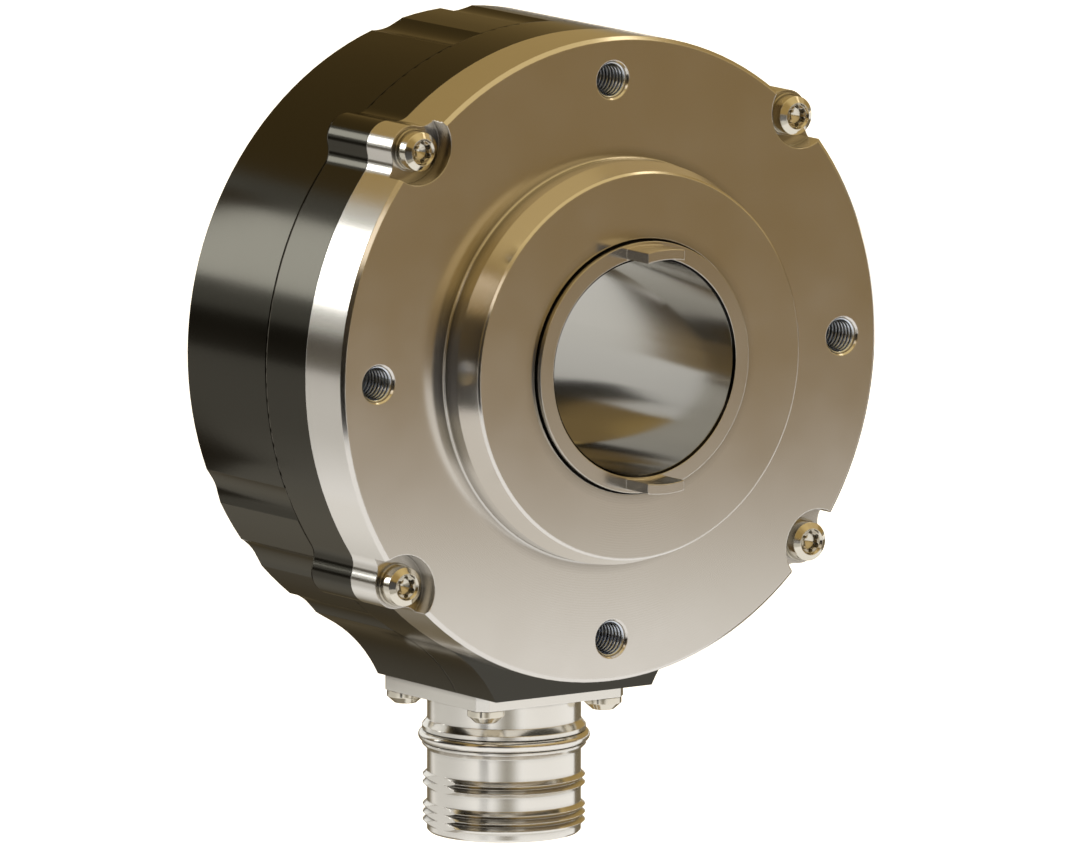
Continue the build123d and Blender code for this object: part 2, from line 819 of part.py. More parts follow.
# Sensor board on four standoffs
board_screw = rounded_screw(
    board_head_radius, board_flat_radius, board_head_bevel, board_head_height,
    board_screw_radius, board_screw_length,
)
standoff_hole_depth = board_screw_length - board_thickness + blind_allowance
with BuildPart() as board_standoffs:
    with BuildSketch(at_depth(flange_thickness)):
        with Locations([polar(standoff_circle, a) for a in standoff_angles]):
            Circle(standoff_radius)
    extrude(amount=flange_thickness - board_front)
    with BuildSketch(at_depth(flange_thickness)):
        with Locations([polar(standoff_circle, a) for a in standoff_angles]):
            Circle(board_screw_radius)
    extrude(amount=standoff_stud)
    with BuildSketch(at_depth(board_front)):
        with Locations([polar(standoff_circle, a) for a in standoff_angles]):
            Circle(board_screw_radius)
    extrude(amount=standoff_hole_depth, mode=Mode.SUBTRACT)
board_standoffs.part.label = "board_standoffs"
export_step(board_standoffs.part, "parts/board_standoffs.step")

spine_middle = (head_spine_inner + head_spine_outer) / 2
head_screw_places = [(side * head_screw_spacing / 2, spine_middle) for side in (1, -1)]
with BuildPart() as sensor_board:
    with BuildSketch(at_depth(board_front)):
        Circle(board_radius)
        Circle(board_bore, mode=Mode.SUBTRACT)
        with Locations([polar(standoff_circle, a) for a in standoff_angles]):
            Circle(board_screw_clearance, mode=Mode.SUBTRACT)
        with Locations(head_screw_places):
            Circle(disc_screw_clearance, mode=Mode.SUBTRACT)
    extrude(amount=-board_thickness)
sensor_board.part.label = "sensor_board"
export_step(sensor_board.part, "parts/sensor_board.step")

with BuildPart() as board_screws:
    for angle in standoff_angles:
        x, z = polar(standoff_circle, angle)
        with Locations(outward(x, board_rear + board_head_height, z, (0, 1, 0))):
            add(board_screw)
board_screws.part.label = "board_screws"
export_step(board_screws.part, "parts/board_screws.step")

chip_circle = (board_bore + board_radius) / 2
with BuildPart() as board_chips:
    with BuildSketch(at_depth(board_rear)):
        with Locations(polar(chip_circle, main_chip_angle)):
            Rectangle(main_chip_size, main_chip_size)
        with Locations([polar(chip_circle, a) for a in driver_chip_angles]):
            Rectangle(driver_chip_length, driver_chip_width)
    extrude(amount=-chip_height)
board_chips.part.label = "board_chips"
export_step(board_chips.part, "parts/board_chips.step")

header_bottom = -board_radius
with BuildPart() as board_header:
    with BuildSketch(at_depth(board_front - header_depth)):
        with Locations((0, header_bottom + header_height / 2)):
            Rectangle(header_width, header_height)
    extrude(amount=-header_depth)
board_header.part.label = "board_header"
export_step(board_header.part, "parts/board_header.step")

# Optical head: a C-shaped block over the disc's edge, with light, lens, reticle and sensor in line
light_front = head_arm_front - light_stand_out
lens_front = light_front + light_length
with BuildPart() as optical_head:
    with BuildSketch(Plane.YZ.offset(-head_width / 2)):
        with Locations(((head_arm_front + board_front) / 2, spine_middle)):
            Rectangle(board_front - head_arm_front, head_spine_outer - head_spine_inner)
        arm_middle = (head_arm_reach + head_spine_outer) / 2
        with Locations((head_arm_front + head_arm_thickness / 2, arm_middle)):
            Rectangle(head_arm_thickness, head_spine_outer - head_arm_reach)
        with Locations((ledge_front + ledge_thickness / 2, arm_middle)):
            Rectangle(ledge_thickness, head_spine_outer - head_arm_reach)
    extrude(amount=head_width)
    with BuildSketch(at_depth(head_arm_front)):
        with Locations((0, track_radius)):
            Circle(optic_radius)
    extrude(amount=-head_arm_thickness, mode=Mode.SUBTRACT)
    with BuildSketch(at_depth(ledge_front)):
        with Locations((0, track_radius)):
            Circle(window_radius)
    extrude(amount=-ledge_thickness, mode=Mode.SUBTRACT)
    with BuildSketch(at_depth(board_front)):
        with Locations(head_screw_places):
            Circle(disc_screw_radius)
    extrude(amount=head_hole_depth, mode=Mode.SUBTRACT)
optical_head.part.label = "optical_head"
export_step(optical_head.part, "parts/optical_head.step")

with BuildPart() as light_source:
    with BuildSketch(at_depth(light_front)):
        with Locations((0, track_radius)):
            Circle(optic_radius)
    extrude(amount=light_front - lens_front)
light_source.part.label = "light_source"
export_step(light_source.part, "parts/light_source.step")

with BuildPart() as collimator_lens:
    with BuildSketch(at_depth(lens_front)):
        with Locations((0, track_radius)):
            Circle(optic_radius)
    extrude(amount=-lens_length)
    fillet(collimator_lens.edges().sort_by(Axis.Y)[-1], lens_edge)
collimator_lens.part.label = "collimator_lens"
export_step(collimator_lens.part, "parts/collimator_lens.step")

with BuildPart() as scanning_reticle:
    with BuildSketch(at_depth(ledge_front - reticle_thickness)):
        with Locations((0, track_radius)):
            Rectangle(reticle_width, reticle_height)
    extrude(amount=-reticle_thickness)
scanning_reticle.part.label = "scanning_reticle"
export_step(scanning_reticle.part, "parts/scanning_reticle.step")

with BuildPart() as photo_sensor:
    with BuildSketch(at_depth(board_front - sensor_thickness)):
        with Locations((0, track_radius)):
            Rectangle(sensor_width, sensor_height)
    extrude(amount=-sensor_thickness)
photo_sensor.part.label = "photo_sensor"
export_step(photo_sensor.part, "parts/photo_sensor.step")

head_screw = rounded_screw(
    disc_screw_head_radius, disc_screw_flat_radius, disc_screw_bevel, disc_screw_head_height,
    disc_screw_radius, head_screw_length,
)
with BuildPart() as optical_head_screws:
    for x, z in head_screw_places:
        with Locations(outward(x, board_rear + disc_screw_head_height, z, (0, 1, 0))):
            add(head_screw)
optical_head_screws.part.label = "optical_head_screws"
export_step(optical_head_screws.part, "parts/optical_head_screws.step")

# Connector shell: square plate, tube into the pad, two collars, two thread groups with flats
connector_line = Axis((0, connector_axis, 0), (0, 0, 1))
tube_ring_middle = plate_top + tube_ring_place
groove_top = plate_bottom - groove_start
groove_bottom = groove_top - groove_width
with BuildPart() as connector_shell:
    with BuildSketch(Plane.XY.offset(plate_bottom)):
        with Locations((0, connector_axis)):
            plate_shape = Rectangle(plate_size, plate_size)
            chamfer(plate_shape.vertices(), plate_bevel)
            Circle(shell_tube_bore, mode=Mode.SUBTRACT)
    extrude(amount=plate_thickness)
    with BuildSketch(at_depth(connector_axis)):
        with BuildLine():
            Polyline(
                (0, shell_end),
                (shell_radius - shell_end_edge, shell_end),
                (shell_radius, shell_end + shell_end_edge),
                (shell_radius, plate_bottom),
                (0, plate_bottom),
                close=True,
            )
        make_face()
        with BuildLine():
            Polyline(
                (0, plate_bottom - collar_start),
                (shell_radius, plate_bottom - collar_start),
                (collar_radius, plate_bottom - collar_widest),
                (collar_radius, groove_bottom - lower_collar_lip),
                (lower_collar_radius, groove_bottom - lower_collar_taper),
                (shell_radius, groove_bottom - lower_collar_end),
                (0, groove_bottom - lower_collar_end),
                close=True,
            )
        make_face()
        for crest in first_crests + second_crests:
            with BuildLine():
                Polyline(
                    (0, plate_bottom - crest + crest_width / 2),
                    (shell_radius, plate_bottom - crest + crest_width / 2),
                    (crest_radius, plate_bottom - crest),
                    (shell_radius, plate_bottom - crest - crest_width / 2),
                    (0, plate_bottom - crest - crest_width / 2),
                    close=True,
                )
            make_face()
        band(0, shell_tube_radius, plate_bottom, shell_tube_top)
        band(groove_radius, bead_radius, groove_bottom, groove_top, Mode.SUBTRACT)
        ring_half = tube_ring_section + joint_clearance
        ring_floor = shell_tube_radius - tube_ring_depth
        ring_bottom = tube_ring_middle - ring_half
        band(ring_floor, bead_radius, ring_bottom, ring_bottom + 2 * ring_half, Mode.SUBTRACT)
        band(0, socket_radius, shell_end, socket_top, Mode.SUBTRACT)
        band(0, shell_tube_bore, shell_end, shell_tube_top, Mode.SUBTRACT)
    revolve(axis=connector_line)
    with BuildSketch(Plane.XY.offset(plate_bottom - key_start)):
        key_middle = key_flat + key_depth / 2
        with Locations((key_middle, connector_axis), (-key_middle, connector_axis)):
            Rectangle(key_depth, key_width)
    extrude(amount=-shell_length, mode=Mode.SUBTRACT)
    with BuildSketch(Plane.XY.offset(plate_bottom)):
        with Locations(plate_screw_places):
            Circle(clearance_hole)
    extrude(amount=plate_thickness, mode=Mode.SUBTRACT)
connector_shell.part.label = "connector_shell"
export_step(connector_shell.part, "parts/connector_shell.step")

with BuildPart() as connector_sealing_ring:
    with BuildSketch(at_depth(connector_axis)):
        with Locations((bead_radius - bead_section, (groove_top + groove_bottom) / 2)):
            Circle(bead_section)
    revolve(axis=connector_line)
connector_sealing_ring.part.label = "connector_sealing_ring"
export_step(connector_sealing_ring.part, "parts/connector_sealing_ring.step")

with BuildPart() as connector_tube_oring:
    with BuildSketch(at_depth(connector_axis)):
        with Locations((ring_floor + tube_ring_section, tube_ring_middle)):
            Circle(tube_ring_section)
    revolve(axis=connector_line)
connector_tube_oring.part.label = "connector_tube_oring"
export_step(connector_tube_oring.part, "parts/connector_tube_oring.step")

# Insulating insert, its pins and the wires to the board
outer_pins = [
    (outer_pin_circle / 2 * sin(radians(360 / outer_pin_count * i)),
     connector_axis + outer_pin_circle / 2 * cos(radians(360 / outer_pin_count * i)))
    for i in range(outer_pin_count)
]
inner_pins = [
    (inner_pin_circle / 2 * sin(radians(360 / inner_pin_count * i)),
     connector_axis + inner_pin_circle / 2 * cos(radians(360 / inner_pin_count * i)))
    for i in range(inner_pin_count)
]
plug_top = socket_top + insert_plug_length
with BuildPart() as connector_insert:
    with BuildSketch(at_depth(connector_axis)):
        band(0, socket_radius - insert_clearance, insert_bottom, socket_top)
        band(0, shell_tube_bore - insert_clearance, socket_top, plug_top)
    revolve(axis=connector_line)
    with BuildSketch(Plane.XY.offset(insert_bottom)):
        with Locations(outer_pins + inner_pins):
            Circle(pin_radius)
    extrude(amount=plug_top - insert_bottom, mode=Mode.SUBTRACT)
connector_insert.part.label = "connector_insert"
export_step(connector_insert.part, "parts/connector_insert.step")

pin_top = plug_top + pin_tail
with BuildPart() as contact_pins:
    with BuildSketch(Plane.XY.offset(insert_bottom - pin_reach)):
        with Locations(outer_pins + inner_pins):
            Circle(pin_radius)
    extrude(amount=pin_top - insert_bottom + pin_reach)
contact_pins.part.label = "contact_pins"
export_step(contact_pins.part, "parts/contact_pins.step")

header_entry = board_front - header_depth / 2
wired_pins = sorted(outer_pins)[::2] + sorted(inner_pins)[:1]
with BuildPart() as connector_wires:
    for number, (x, y) in enumerate(sorted(wired_pins)):
        target = (number - (len(wired_pins) - 1) / 2) * wire_pitch
        with BuildLine() as route:
            FilletPolyline(
                (x, y, pin_top),
                (x, y, pin_top + wire_straight),
                (target, header_entry, header_bottom - wire_straight),
                (target, header_entry, header_bottom),
                radius=wire_bend,
            )
        with BuildSketch(Plane(origin=(x, y, pin_top), z_dir=(0, 0, 1))):
            Circle(wire_radius)
        sweep(path=route.line)
connector_wires.part.label = "connector_wires"
export_step(connector_wires.part, "parts/connector_wires.step")

plate_screw = rounded_screw(
    plate_head_radius, plate_flat_radius, plate_head_bevel, plate_head_height,
    thread_radius, plate_thread_length,
)
with BuildPart() as connector_screws:
    for x, y in plate_screw_places:
        with Locations(outward(x, y, plate_bottom - plate_head_height, (0, 0, -1))):
            add(plate_screw)
connector_screws.part.label = "connector_screws"
export_step(connector_screws.part, "parts/connector_screws.step")
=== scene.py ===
# %% [markdown]
# A hollow shaft rotary encoder: a bright round flange, a dark drum behind it and a round
# connector below. The machine's shaft goes through the bore and turns a code disc inside.
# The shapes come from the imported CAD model, so this lesson is about the camera, the studio
# and the finish of each metal, and about the thread ridges that the CAD model leaves out.

# %% Load the model
from math import cos, pi, radians, sin, tau

import bpy
from mathutils import Matrix, Vector


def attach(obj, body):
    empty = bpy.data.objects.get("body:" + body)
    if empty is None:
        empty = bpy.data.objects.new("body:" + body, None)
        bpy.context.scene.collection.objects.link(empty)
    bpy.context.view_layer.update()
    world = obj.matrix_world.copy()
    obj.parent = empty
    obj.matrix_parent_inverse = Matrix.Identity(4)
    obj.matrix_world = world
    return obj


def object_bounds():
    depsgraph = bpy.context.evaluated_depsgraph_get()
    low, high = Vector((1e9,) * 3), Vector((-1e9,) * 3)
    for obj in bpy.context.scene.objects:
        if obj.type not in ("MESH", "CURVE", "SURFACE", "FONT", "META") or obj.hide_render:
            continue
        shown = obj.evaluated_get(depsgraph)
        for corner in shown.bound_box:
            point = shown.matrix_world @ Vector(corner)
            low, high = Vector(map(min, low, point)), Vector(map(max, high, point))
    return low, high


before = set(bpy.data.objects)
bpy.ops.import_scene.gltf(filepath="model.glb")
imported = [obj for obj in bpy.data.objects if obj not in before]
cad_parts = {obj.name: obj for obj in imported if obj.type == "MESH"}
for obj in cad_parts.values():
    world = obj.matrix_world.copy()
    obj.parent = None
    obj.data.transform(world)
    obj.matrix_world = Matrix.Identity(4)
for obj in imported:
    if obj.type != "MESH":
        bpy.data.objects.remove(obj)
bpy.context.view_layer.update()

# %% [markdown]
# A product picture of this kind is taken from far away with a long lens, so that circles
# stay even. The camera stands 2.6 m off, to the front left and a little above the part.
# It is moved sideways instead of being turned, which keeps the view direction simple.

# %% Camera
AZIMUTH = radians(-34.76)
ELEVATION = radians(9.03)
ROLL = radians(0.10)
DISTANCE = 2.616
LENS_MM = 632.0
SIDE_STEP = -0.00995
UP_STEP = -0.00895

towards_camera = Vector((
    sin(AZIMUTH) * cos(ELEVATION), -cos(AZIMUTH) * cos(ELEVATION), sin(ELEVATION)))
level_right = Vector((cos(AZIMUTH), sin(AZIMUTH), 0.0))
level_up = towards_camera.cross(level_right)
picture_right = cos(ROLL) * level_right + sin(ROLL) * level_up
picture_up = cos(ROLL) * level_up - sin(ROLL) * level_right

turn = Matrix((picture_right, picture_up, towards_camera)).transposed().to_4x4()
turn.translation = towards_camera * DISTANCE + picture_right * SIDE_STEP + picture_up * UP_STEP
lens = bpy.data.cameras.new("camera")
lens.lens = LENS_MM
lens.sensor_width = 36.0
camera = bpy.data.objects.new("camera", lens)
bpy.context.scene.collection.objects.link(camera)
camera.matrix_world = turn
bpy.context.scene.camera = camera
print("camera at", [round(value, 3) for value in camera.location])

# %% [markdown]
# Small helpers serve every finish. One turns a written colour into the linear values that
# the renderer works with, and one adds a shader node with its settings and links. The
# others stand for what comes back often: a sum, a blend of two colours, a cloud of noise,
# the distance from an axis, a raised pattern, an uneven shine and painted shade in hollows.

# %% Helpers for materials
EDGE_ROUNDING = 0.00020


def tone(code):
    """A colour written as sRGB hex, in the renderer's linear values."""
    parts = [int(code[i:i + 2], 16) / 255 for i in (1, 3, 5)]
    linear = [p / 12.92 if p <= 0.04045 else ((p + 0.055) / 1.055) ** 2.4 for p in parts]
    return (*linear, 1.0)


def put(tree, kind, sockets=None, **settings):
    """Adds one node. A socket's value is a number, a colour or another node's output."""
    made = tree.nodes.new(kind)
    for name, value in settings.items():
        setattr(made, name, value)
    for socket, value in (sockets or {}).items():
        if isinstance(value, bpy.types.NodeSocket):
            tree.links.new(value, made.inputs[socket])
        else:
            made.inputs[socket].default_value = value
    return made


def maths(tree, operation, *values, use_clamp=False):
    """The output of one Math node, from its values in their order."""
    made = put(tree, "ShaderNodeMath", dict(enumerate(values)), operation=operation,
               use_clamp=use_clamp)
    return made.outputs[0]


def blend(tree, share, low, high):
    """A colour between two. Each is written as hex or is another node's output."""
    low, high = [tone(end) if isinstance(end, str) else end for end in (low, high)]
    return put(tree, "ShaderNodeMix", {0: share, 6: low, 7: high}, data_type="RGBA").outputs[2]


def noise(tree, place, scale, detail):
    """A cloud of noise. The scale counts its patches in one metre."""
    made = put(tree, "ShaderNodeTexNoise", {"Vector": place, "Scale": scale, "Detail": detail})
    return made.outputs[0]


def own_place(tree):
    """The place of a point in the object's own coordinates."""
    return put(tree, "ShaderNodeTexCoord").outputs["Object"]


def axis_distance(tree, first, second):
    """The distance from an axis, from the two coordinates across it."""
    flat = put(tree, "ShaderNodeCombineXYZ", {0: first, 1: second}).outputs[0]
    return put(tree, "ShaderNodeVectorMath", {0: flat}, operation="LENGTH").outputs["Value"]


def raised(tree, shader, height, strength, depth, rounded=True):
    """Raises the surface by a pattern, and lets light catch its sharp edges if rounded."""
    sockets = {"Height": height, "Strength": strength, "Distance": depth}
    if rounded:
        edge = put(tree, "ShaderNodeBevel", {"Radius": EDGE_ROUNDING}, samples=4)
        sockets["Normal"] = edge.outputs[0]
    tree.links.new(put(tree, "ShaderNodeBump", sockets).outputs[0], shader.inputs["Normal"])


def uneven(tree, shader, pattern, low, high):
    """Lets a pattern move the roughness between two values."""
    rough = put(tree, "ShaderNodeMapRange", {0: pattern, 3: low, 4: high})
    tree.links.new(rough.outputs[0], shader.inputs["Roughness"])


def painted_shade_in_hollows(tree, reach_mm, dark, colour):
    """Painted shade in hollows: the colour gets darker where walls stand close."""
    open_share = put(tree, "ShaderNodeAmbientOcclusion", {"Distance": reach_mm / 1000}, samples=8)
    return blend(tree, open_share.outputs["AO"], dark, colour)


def tree_and_shader(material):
    """A material's node tree and the one shader in it."""
    return material.node_tree, material.node_tree.nodes["Principled BSDF"]


def finish(name, colour, metallic, roughness, sockets=None):
    """A new material, with its node tree and its shader."""
    made = bpy.data.materials.new(name)
    made.use_nodes = True
    tree, shader = tree_and_shader(made)
    values = {"Base Color": tone(colour), "Metallic": metallic, "Roughness": roughness}
    values.update(sockets or {})
    for socket, value in values.items():
        shader.inputs[socket].default_value = value
    return made, tree, shader


print("mid grey is", [round(value, 3) for value in tone("#808080")], "in linear values")

# %% [markdown]
# The studio is a pale floor and a room. The camera sees the room as white paper. Metal and
# glass don't: bright metal shows its surroundings more than its own colour, so the room
# that reflections see is a warm brown, grey below and golden above.

# %% Floor
FLOOR_DROP = 0.045
FLOOR_HALF = 3.0
PAPER_GLOW = 0.95

floor_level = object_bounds()[0].z - FLOOR_DROP


def rectangle(left, right, low, high):
    """The four corners of a rectangle, in their order around it."""
    return [(left, low), (right, low), (right, high), (left, high)]


floor_mesh = bpy.data.meshes.new("studio_floor")
floor_corners = rectangle(-FLOOR_HALF, FLOOR_HALF, -FLOOR_HALF, FLOOR_HALF)
floor_mesh.from_pydata([(x, y, floor_level) for x, y in floor_corners], [], [(0, 1, 2, 3)])
floor = bpy.data.objects.new("studio_floor", floor_mesh)
bpy.context.scene.collection.objects.link(floor)

paper, tree, shader = finish("matt_white_studio_paper", "#F4F2EE", 0.0, 0.9)
ray = put(tree, "ShaderNodeLightPath").outputs
seen = maths(tree, "ADD", ray["Is Camera Ray"], ray["Is Glossy Ray"])
seen = maths(tree, "ADD", seen, ray["Is Transmission Ray"], use_clamp=True)
tree.links.new(maths(tree, "MULTIPLY", seen, PAPER_GLOW), shader.inputs["Emission Strength"])
shader.inputs["Emission Color"].default_value = tone("#FFFFFF")
floor_mesh.materials.append(paper)
print("floor at", round(floor_level, 4))

# %% Room
ROOM_LOW = "#8F8A80"
ROOM_SIDE = "#A88F5C"
ROOM_TOP = "#E4CC94"
ROOM_STOPS = ((0.0, ROOM_LOW), (0.10, ROOM_SIDE), (0.60, ROOM_SIDE), (0.80, ROOM_TOP))

room = bpy.data.worlds.new("warm_room")
room.use_nodes = True
bpy.context.scene.world = room
tree = room.node_tree
direction = put(tree, "ShaderNodeTexCoord").outputs["Generated"]
upward = put(tree, "ShaderNodeSeparateXYZ", {0: direction}).outputs["Z"]
ramp = put(tree, "ShaderNodeValToRGB", {0: upward})
ramp.color_ramp.interpolation = "EASE"
for position, colour in ROOM_STOPS[1:-1]:
    ramp.color_ramp.elements.new(position)
for stop, (position, colour) in zip(ramp.color_ramp.elements, ROOM_STOPS):
    stop.position = position
    stop.color = tone(colour)
ray = put(tree, "ShaderNodeLightPath").outputs
pale = blend(tree, ray["Is Camera Ray"], ramp.outputs["Color"], "#FFFFFF")
tree.links.new(pale, tree.nodes["Background"].inputs["Color"])
tree.nodes["Background"].inputs["Strength"].default_value = 1.0
print("room with", len(ramp.color_ramp.elements), "colour stops")

# %% [markdown]
# Three soft lamps light the part. They stand behind its left side, above its right side
# and at its front left.

# %% Lamps
LAMP_AIM = (0.0, 0.015, 0.0)


def softbox(name, place, width, height, radiance, colour):
    """A rectangular lamp of even brightness. Radiance 1 shows as white in a mirror."""
    light = bpy.data.lights.new(name, "AREA")
    light.shape = "RECTANGLE"
    light.size = width
    light.size_y = height
    light.energy = radiance * pi * width * height
    light.color = tone(colour)[:3]
    lamp = bpy.data.objects.new(name, light)
    bpy.context.scene.collection.objects.link(lamp)
    lamp.location = place
    lamp.rotation_euler = (Vector(LAMP_AIM) - Vector(place)).to_track_quat("-Z", "Y").to_euler()


softbox("left_back_softbox", (-0.66, 0.95, 0.31), 0.40, 0.30, 4.2, "#FAFDFF")
softbox("right_top_softbox", (0.90, -0.35, 1.10), 0.45, 0.40, 1.4, "#FFEFD0")
softbox("left_front_softbox", (-1.10, -0.75, 0.75), 0.40, 0.40, 1.0, "#FFF8EE")

# %% [markdown]
# Cards that show only in reflections do the rest. The camera doesn't see them, matt
# surfaces get no light from them and they cast no shadow. Two trays lie on the floor and
# show in the drum, the rim and the connector. The warm card in front on the right is what
# the flat flange looks at, and its pale foot gives the flange its change from brown to
# silver. A pale and a dark card far behind the left side are what drum and rim look at.

# %% Cards around the part
CARD_LIFT = 0.001
TRAY_HALF = 1.6
TRAY_SLOPE = (0.563, -0.811, 0)
FLANGE_BEARING = 34.8
UPWARDS = (0, 0, 1)
NEAR_BEARING = -34.8
NEAR_AWAY = 0.16
NEAR_HALF = 0.09
NEAR_TOP = -0.060
NEAR_FADE = 0.08


def reflection_card(name, points, low, high, axis, start, end):
    """A glowing card for reflections, from one colour to another along an axis."""
    mesh = bpy.data.meshes.new(name)
    mesh.from_pydata(points, [], [tuple(range(len(points)))])
    made = bpy.data.objects.new(name, mesh)
    bpy.context.scene.collection.objects.link(made)
    made.visible_camera = False
    made.visible_shadow = False
    made.visible_diffuse = False
    cloth, tree, shader = finish(name + "_cloth", "#000000", 0.0, 1.0)
    along = put(tree, "ShaderNodeVectorMath", {0: own_place(tree), 1: axis},
                operation="DOT_PRODUCT")
    share = put(tree, "ShaderNodeMapRange", {0: along.outputs["Value"], 1: start, 2: end},
                interpolation_type="SMOOTHSTEP")
    glow = blend(tree, share.outputs[0], low, high)
    tree.links.new(glow, shader.inputs["Emission Color"])
    shader.inputs["Emission Strength"].default_value = 1.0
    mesh.materials.append(cloth)


def bearing_axes(bearing):
    """The level directions away from the part and across, at a bearing from -Y towards +X."""
    angle = radians(bearing)
    return Vector((sin(angle), -cos(angle), 0.0)), Vector((cos(angle), sin(angle), 0.0))


def standing(bearing, away, left, right, bottom, top):
    """The corners of a card that stands at a bearing and faces the part."""
    out, across = bearing_axes(bearing)
    return [out * away + across * side + Vector((0, 0, height))
            for side, height in rectangle(left, right, bottom, top)]


def upright_card(name, bearing, away, half, bottom, top, low, high, start, end):
    """A standing card whose colour changes between two heights."""
    reflection_card(name, standing(bearing, away, -half, half, bottom, top), low, high,
                    UPWARDS, start, end)


tray_level = floor_level + 2 * CARD_LIFT
tray_corners = rectangle(-TRAY_HALF, TRAY_HALF, -TRAY_HALF, TRAY_HALF)
reflection_card("pale_tray", [(x, y, tray_level) for x, y in tray_corners],
                "#CFCECB", "#FFFFFF", TRAY_SLOPE, -0.35, -0.12)
brown_corners = rectangle(-0.10, 0.60, 0.05, 0.90)
reflection_card("brown_tray", [(x, y, tray_level + CARD_LIFT) for x, y in brown_corners],
                "#F0EFEC", "#6E6450", (1, 0, 0), -0.08, 0.02)

for card in (
    # The flat flange and the shaft's front end look at the first one.
    ("warm_card", FLANGE_BEARING, 0.45, 0.50, floor_level, 0.02,
     "#E4E2DD", "#88724C", -0.117, -0.073),
    # Screw heads and a few edges catch the next one.
    ("gold_card", FLANGE_BEARING, 0.45, 0.50, 0.02, 0.45, "#88724C", "#CDB584", 0.02, 0.09),
    # Edges and hollows on the flange's left show the dark one. The slate one darkens the
    # boss's left flank and the sides of the tabs, in blurred reflections.
    ("dark_card", -55.3, 0.30, 0.11, floor_level, 0.115, "#0C0B09", "#3A3020", -0.03, 0.09),
    ("slate_card", -34.0, 0.24, 0.035, floor_level, 0.03, "#5A5B5F", "#4A4A4C", -0.06, 0.03),
    # No sharp reflection of this view meets this one, so at most blurred ones show it.
    ("left_card", -114.0, 0.60, 0.27, floor_level, 0.48, "#1A1712", "#6A5A38", 0.10, 0.48),
    # The left side of the drum and of the rim looks at the last two, pale above dark.
    ("glow_card", -148.0, 1.25, 0.34, 0.02, 0.64, "#C8C9C4", "#C8C9C4", 0.0, 1.0),
    ("back_card", -145.3, 0.90, 0.30, -0.10, 0.03, "#66625A", "#443F36", -0.10, 0.0),
):
    upright_card(*card)

# Two low cards before the connector get paler from the edge that they share outwards.
near_across = bearing_axes(NEAR_BEARING)[1]
for name, side in (("near_card_left", -1), ("near_card_right", 1)):
    points = standing(NEAR_BEARING, NEAR_AWAY, 0.0, side * NEAR_HALF, floor_level, NEAR_TOP)
    reflection_card(name, points, "#A29E94", "#FFFFFF", tuple(near_across * side), 0.0, NEAR_FADE)
print("cards around the part", sum(1 for mesh in bpy.data.meshes if "_card" in mesh.name or
                                   "_tray" in mesh.name))

# %% [markdown]
# The bore is a mirror of its own. It shows what stands behind its rear mouth, so three
# cards stand there: a bright one with a curved corner, a dark band and a brown ground
# behind both. Their outlines were found by following rays from the camera through the bore.
# The drum's left side shows some of the brown one too.

# %% Cards behind the bore
BRIGHT_REACH = 0.061
CARD_Y = 0.115
GROUND_Y = 0.118


def bore_card(name, outline, behind, low, high, start, end):
    """A card behind the bore's rear mouth, from its outline in X and Z."""
    reflection_card(name, [(x, behind, z) for x, z in outline], low, high, UPWARDS, start, end)


arc = [(-BRIGHT_REACH * cos(radians(angle)), -BRIGHT_REACH * sin(radians(angle)))
       for angle in range(0, 91, 10)]
bright_outline = [
    (-0.075, 0.012), *arc, (0.045, -0.050), (0.045, -0.012), (0.010, -0.012), (0.010, 0.037),
    (-0.043, 0.037), (-0.038, 0.051), (-0.022, 0.053), (-0.022, 0.064), (-0.075, 0.064)]
dark_outline = [(-0.043, 0.037), (0.010, 0.037), (0.010, 0.051), (-0.038, 0.051)]
bore_card("bright_bore_card", bright_outline, CARD_Y, "#F8F8F5", "#DEDEDC", -0.030, 0.040)
bore_card("dark_bore_card", dark_outline, CARD_Y, "#0E0C08", "#2A2418", 0.040, 0.051)
bore_card("brown_bore_card", rectangle(-0.085, 0.045, -0.065, 0.065), GROUND_Y,
          "#4A3F2C", "#846F49", -0.060, -0.020)
print("cards behind the bore", sum(1 for mesh in bpy.data.meshes if "bore_card" in mesh.name))

# %% [markdown]
# The flange is turned on a lathe and then nickel plated. A lathe tool leaves fine rings
# around the shaft's axis. Real rings are about 0.1 mm apart, too fine for this picture, so
# they are drawn 0.35 mm apart and very shallow. A little noise in the roughness gives the
# plating its soft, uneven sheen. In the connector's grooves the plating gets painted shade.

# %% Turned metals
SHAFT_LINE = (0.0, 0.0, 0.0)
CONNECTOR_LINE = (0.0, 0.0261, 0.0)
NICKEL = "#DCD7CF"
NICKEL_ON_BRASS = "#E6E2DA"
HONED = "#D2CCC2"
RING_STRENGTH = 0.35
SHEEN_SCALE = 90.0


def turned(name, colour, roughness, centre, axis, ring_mm, depth_mm, spread=0.05):
    """Bright metal with lathe rings around an axis that passes through a centre."""
    made, tree, shader = finish(name, colour, 1.0, roughness)
    place = own_place(tree)
    centred = put(tree, "ShaderNodeMapping", {"Vector": place, "Location": [-c for c in centre]})
    parts = put(tree, "ShaderNodeSeparateXYZ", {0: centred.outputs[0]}).outputs
    across = [parts[k] for k in "XYZ" if k != axis]
    along = maths(tree, "ADD", axis_distance(tree, *across), parts[axis])
    wave = maths(tree, "SINE", maths(tree, "MULTIPLY", along, tau / (ring_mm / 1000)))
    raised(tree, shader, wave, RING_STRENGTH, depth_mm / 1000)
    sheen = noise(tree, place, SHEEN_SCALE, 3.0)
    uneven(tree, shader, sheen, roughness - spread, roughness + spread)
    return made


